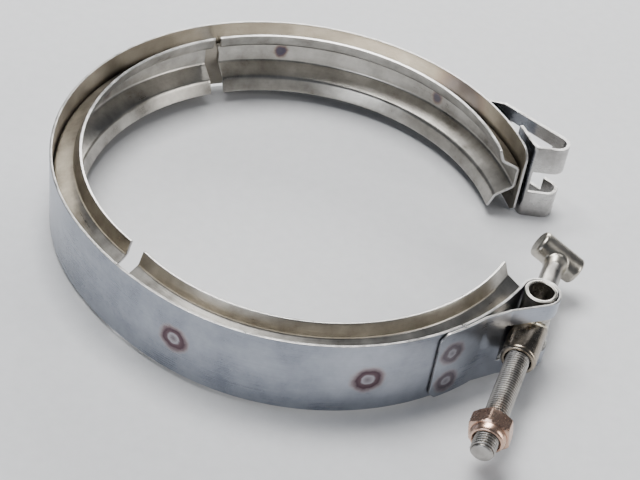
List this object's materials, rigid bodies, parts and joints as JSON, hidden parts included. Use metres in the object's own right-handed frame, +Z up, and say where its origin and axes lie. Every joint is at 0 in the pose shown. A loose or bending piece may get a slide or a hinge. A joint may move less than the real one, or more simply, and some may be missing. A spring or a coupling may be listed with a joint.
{
  "type": "v-band retainer clamp",
  "caption": "Open V-retainer band clamp ring of formed strip, with a slotted strap receiver and a swinging T-bolt latch drawn up by a lock nut.",
  "frame": {"origin": "bottom centre of the clamp's bounding box as it lies open on a flat surface", "axes": "+Z up, along the ring's own axis; +Y from the T-bolt's nut end towards the receiver side; +X from the closed back of the ring towards the latch opening"},
  "size_m": [0.1907, 0.2034, 0.0318],
  "materials": {
    "band_steel": "cold-rolled stainless strip, satin with a blue-grey sheen",
    "retainer_steel": "roll-formed stainless, dull and slightly warm",
    "receiver_steel": "stainless strap, bright at the bends",
    "tube_steel": "cut tube, dull inside",
    "barrel_steel": "dark grey-bronze, worn bright at the rim",
    "bolt_steel": "satin grey, rolled thread",
    "nut_plating": "copper-toned plating over steel"
  },
  "bodies": {
    "rear": {"band_rear_span": "band_steel", "retainer_rear": "retainer_steel"},
    "receiver_end": {"band_receiver_span": "band_steel", "retainer_receiver": "retainer_steel", "receiver_strap": "receiver_steel"},
    "trunnion_end": {"band_trunnion_span": "band_steel", "retainer_trunnion": "retainer_steel"},
    "trunnion": {"trunnion_tube": "tube_steel", "guide_barrel": "barrel_steel"},
    "nut": {"lock_nut": "nut_plating"},
    "bolt": {"t_bolt": "bolt_steel"}
  },
  "joints": [
    {"name": "flex_receiver", "type": "hinge", "parent": "rear", "child": "receiver_end", "pos_m": [-0.04757, 0.09245, 0.0159], "axis": [0, 0, 1], "range_deg": [-2, 12], "stiffness_Nm_per_rad": 4},
    {"name": "flex_trunnion", "type": "hinge", "parent": "rear", "child": "trunnion_end", "pos_m": [-0.06306, -0.0513, 0.0159], "axis": [0, 0, -1], "range_deg": [-4, 12], "stiffness_Nm_per_rad": 4},
    {"name": "trunnion_swing", "type": "hinge", "parent": "trunnion_end", "child": "trunnion", "pos_m": [0.07421, -0.04091, 0.0159], "axis": [0, 0, 1], "range_deg": [-2, 12]},
    {"name": "bolt_slide", "type": "slide", "parent": "trunnion", "child": "nut", "axis": [0.3057, 0.9521, 0], "range_m": [-0.0225, 0.017]},
    {"name": "bolt_roll", "type": "hinge", "parent": "nut", "child": "bolt", "pos_m": [0.07421, -0.04091, 0.0159], "axis": [0.3057, 0.9521, 0], "continuous": true}
  ]
}
